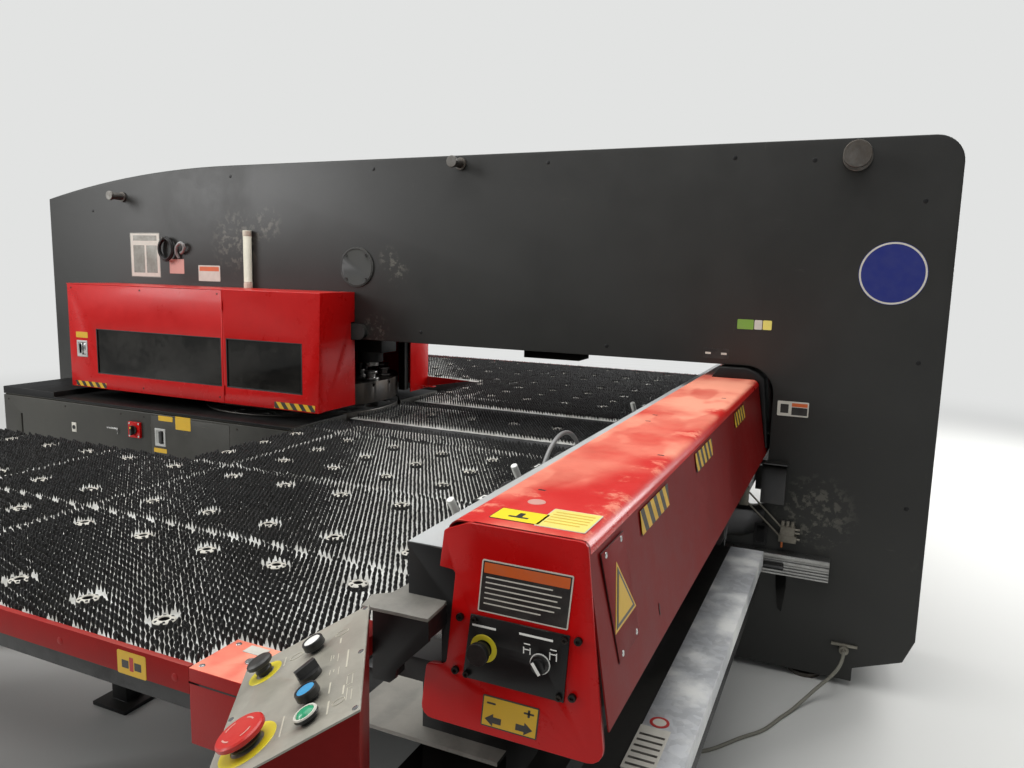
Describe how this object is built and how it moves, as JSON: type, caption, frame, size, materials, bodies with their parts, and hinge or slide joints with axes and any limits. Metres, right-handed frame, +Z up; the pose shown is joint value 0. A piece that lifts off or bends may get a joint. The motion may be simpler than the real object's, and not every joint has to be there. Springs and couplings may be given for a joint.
{
  "type": "cnc turret punch press",
  "caption": "Bridge-frame turret punch press with a red turret guard, black brush tables and a long red carriage that holds the sheet clamps and an operator panel.",
  "frame": {"origin": "underside of the levelling pad on the floor, straight below the punching point", "axes": "+X along the bridge frame from the turret to the post, +Y across the frame away from the operator panel's end, +Z up"},
  "size_m": [5.186, 5.7665, 2.3],
  "materials": {
    "frame_paint": "satin",
    "pad_steel": "worn",
    "black_paint": "satin",
    "red_paint": "semi-gloss",
    "smoked_pane": "gloss",
    "cabinet_paint": "satin",
    "deck_steel": "satin",
    "post_paint": "satin",
    "bristle": "matte",
    "rail_steel": "ground",
    "valve_metal": "satin",
    "cable_sheath": "matte",
    "turret_iron": "machined",
    "tool_steel": "ground",
    "handle_plastic": "satin",
    "galvanised": "galvanised",
    "screw_black": "blackened",
    "panel_face": "matt",
    "white_cap": "gloss",
    "blue_cap": "gloss",
    "green_cap": "gloss",
    "red_cap": "gloss"
  },
  "bodies": {
    "frame": {"near_side_plate": "frame_paint", "far_side_plate": "frame_paint", "beam_box": "frame_paint", "lower_frame_box": "frame_paint", "levelling_pads": "pad_steel", "lifting_pins": "pad_steel", "side_brackets": "black_paint", "turret_bearings": "pad_steel", "ram_housing": "black_paint", "near_turret_cover": "red_paint", "fixed_window": "smoked_pane", "far_turret_cover": "red_paint", "near_base_cabinet": "cabinet_paint", "far_base_cabinet": "cabinet_paint", "breaker_box": "red_paint", "centre_table": "deck_steel", "centre_brushes": "bristle", "wing_support_posts": "post_paint", "y_rails": "rail_steel", "valve_block": "valve_metal", "cable_socket": "valve_metal", "socket_cable": "cable_sheath", "cable_plug": "handle_plastic"},
    "y_carriage": {"carriage_base": "black_paint", "guide_beam": "black_paint", "carriage_cover": "red_paint", "end_plates": "red_paint", "frame_hood": "black_paint", "cable_tray": "galvanised", "wing_decks": "deck_steel", "wing_brushes": "bristle", "wing_channels": "red_paint", "corner_box": "red_paint", "end_control_plate": "black_paint", "cover_screws": "screw_black", "operator_box": "red_paint", "operator_plate": "panel_face"},
    "clamp_slide": {"x_carriage": "black_paint", "work_clamps": "black_paint"},
    "jaw_1": {"clamp_jaw_1": "black_paint"},
    "jaw_2": {"clamp_jaw_2": "black_paint"},
    "jaw_3": {"clamp_jaw_3": "black_paint"},
    "upper_disc": {"upper_turret": "turret_iron", "punch_tools": "tool_steel"},
    "lower_disc": {"lower_turret": "turret_iron", "die_tools": "tool_steel"},
    "striker": {"striker": "rail_steel"},
    "turret_door": {"turret_door": "red_paint", "door_window": "smoked_pane"},
    "cabinet_door": {"cabinet_door": "cabinet_paint"},
    "breaker_switch": {"breaker_switch": "handle_plastic"},
    "end_stop": {"end_stop_button": "handle_plastic"},
    "gauge_selector": {"gauge_selector": "rail_steel"},
    "gauge_block": {"gauge_block": "rail_steel"},
    "white_button": {"white_button": "white_cap"},
    "blue_button": {"blue_button": "blue_cap"},
    "green_button": {"green_button": "green_cap"},
    "stop_button": {"stop_button": "handle_plastic"},
    "emergency_stop": {"emergency_stop": "red_cap"},
    "mode_selector": {"mode_selector": "handle_plastic"}
  },
  "joints": [
    {"name": "carriage_travel", "type": "slide", "parent": "frame", "child": "y_carriage", "axis": [1, 0, 0], "range_m": [-1.43, 0]},
    {"name": "clamp_travel", "type": "slide", "parent": "y_carriage", "child": "clamp_slide", "axis": [0, 1, 0], "range_m": [-0.45, 2.05]},
    {"name": "jaw_1_pivot", "type": "hinge", "parent": "clamp_slide", "child": "jaw_1", "pos_m": [1.66, -1.74, 1.012], "axis": [0, 1, 0], "range_deg": [0, 12]},
    {"name": "jaw_2_pivot", "type": "hinge", "parent": "clamp_slide", "child": "jaw_2", "pos_m": [1.66, -1.31, 1.012], "axis": [0, 1, 0], "range_deg": [0, 12]},
    {"name": "jaw_3_pivot", "type": "hinge", "parent": "clamp_slide", "child": "jaw_3", "pos_m": [1.66, 0.12, 1.012], "axis": [0, 1, 0], "range_deg": [0, 12]},
    {"name": "upper_disc_index", "type": "hinge", "parent": "frame", "child": "upper_disc", "pos_m": [-0.48, 0, 1.3], "axis": [0, 0, 1], "continuous": true},
    {"name": "lower_disc_index", "type": "hinge", "parent": "frame", "child": "lower_disc", "pos_m": [-0.48, 0, 0.62], "axis": [0, 0, 1], "continuous": true},
    {"name": "striker_stroke", "type": "slide", "parent": "frame", "child": "striker", "axis": [0, 0, 1], "range_m": [-0.03, 0]},
    {"name": "turret_door_hinge", "type": "hinge", "parent": "frame", "child": "turret_door", "pos_m": [-0.529, -0.604, 1.3], "axis": [0, 0, 1], "range_deg": [0, 100]},
    {"name": "cabinet_door_hinge", "type": "hinge", "parent": "frame", "child": "cabinet_door", "pos_m": [-0.3828, -0.7238, 0.5], "axis": [0, 0, 1], "range_deg": [0, 110]},
    {"name": "breaker_turn", "type": "hinge", "parent": "frame", "child": "breaker_switch", "pos_m": [-1.065, -0.75, 0.822], "axis": [0, 1, 0], "range_deg": [0, 90]},
    {"name": "end_stop_press", "type": "slide", "parent": "y_carriage", "child": "end_stop", "axis": [0, 1, 0], "range_m": [0, 0.005], "stiffness_N_per_m": 1500, "springref_m": -0.004},
    {"name": "gauge_selector_turn", "type": "hinge", "parent": "y_carriage", "child": "gauge_selector", "pos_m": [2.117, -2.585, 1.082], "axis": [0, 1, 0], "range_deg": [0, 70]},
    {"name": "gauge_block_rise", "type": "slide", "parent": "y_carriage", "child": "gauge_block", "axis": [0, 0, 1], "range_m": [0, 0.025]},
    {"name": "white_button_press", "type": "slide", "parent": "y_carriage", "child": "white_button", "axis": [0.3959, 0.2522, -0.8829], "range_m": [0, 0.005], "stiffness_N_per_m": 1200, "springref_m": -0.005},
    {"name": "blue_button_press", "type": "slide", "parent": "y_carriage", "child": "blue_button", "axis": [0.3959, 0.2522, -0.8829], "range_m": [0, 0.005], "stiffness_N_per_m": 1200, "springref_m": -0.005},
    {"name": "green_button_press", "type": "slide", "parent": "y_carriage", "child": "green_button", "axis": [0.3959, 0.2522, -0.8829], "range_m": [0, 0.005], "stiffness_N_per_m": 1200, "springref_m": -0.005},
    {"name": "stop_button_press", "type": "slide", "parent": "y_carriage", "child": "stop_button", "axis": [0.3959, 0.2522, -0.8829], "range_m": [0, 0.005], "stiffness_N_per_m": 1500, "springref_m": -0.005},
    {"name": "emergency_stop_press", "type": "slide", "parent": "y_carriage", "child": "emergency_stop", "axis": [0.3959, 0.2522, -0.8829], "range_m": [0, 0.005], "stiffness_N_per_m": 2200, "springref_m": -0.006},
    {"name": "mode_selector_turn", "type": "hinge", "parent": "y_carriage", "child": "mode_selector", "pos_m": [1.9039, -2.91303, 1.1708], "axis": [-0.3959, -0.2522, 0.8829], "range_deg": [0, 90]}
  ],
  "couplings": [
    {"joint": "jaw_2_pivot", "follows": "jaw_1_pivot", "ratio": 1},
    {"joint": "jaw_3_pivot", "follows": "jaw_1_pivot", "ratio": 1},
    {"joint": "lower_disc_index", "follows": "upper_disc_index", "ratio": 1}
  ]
}
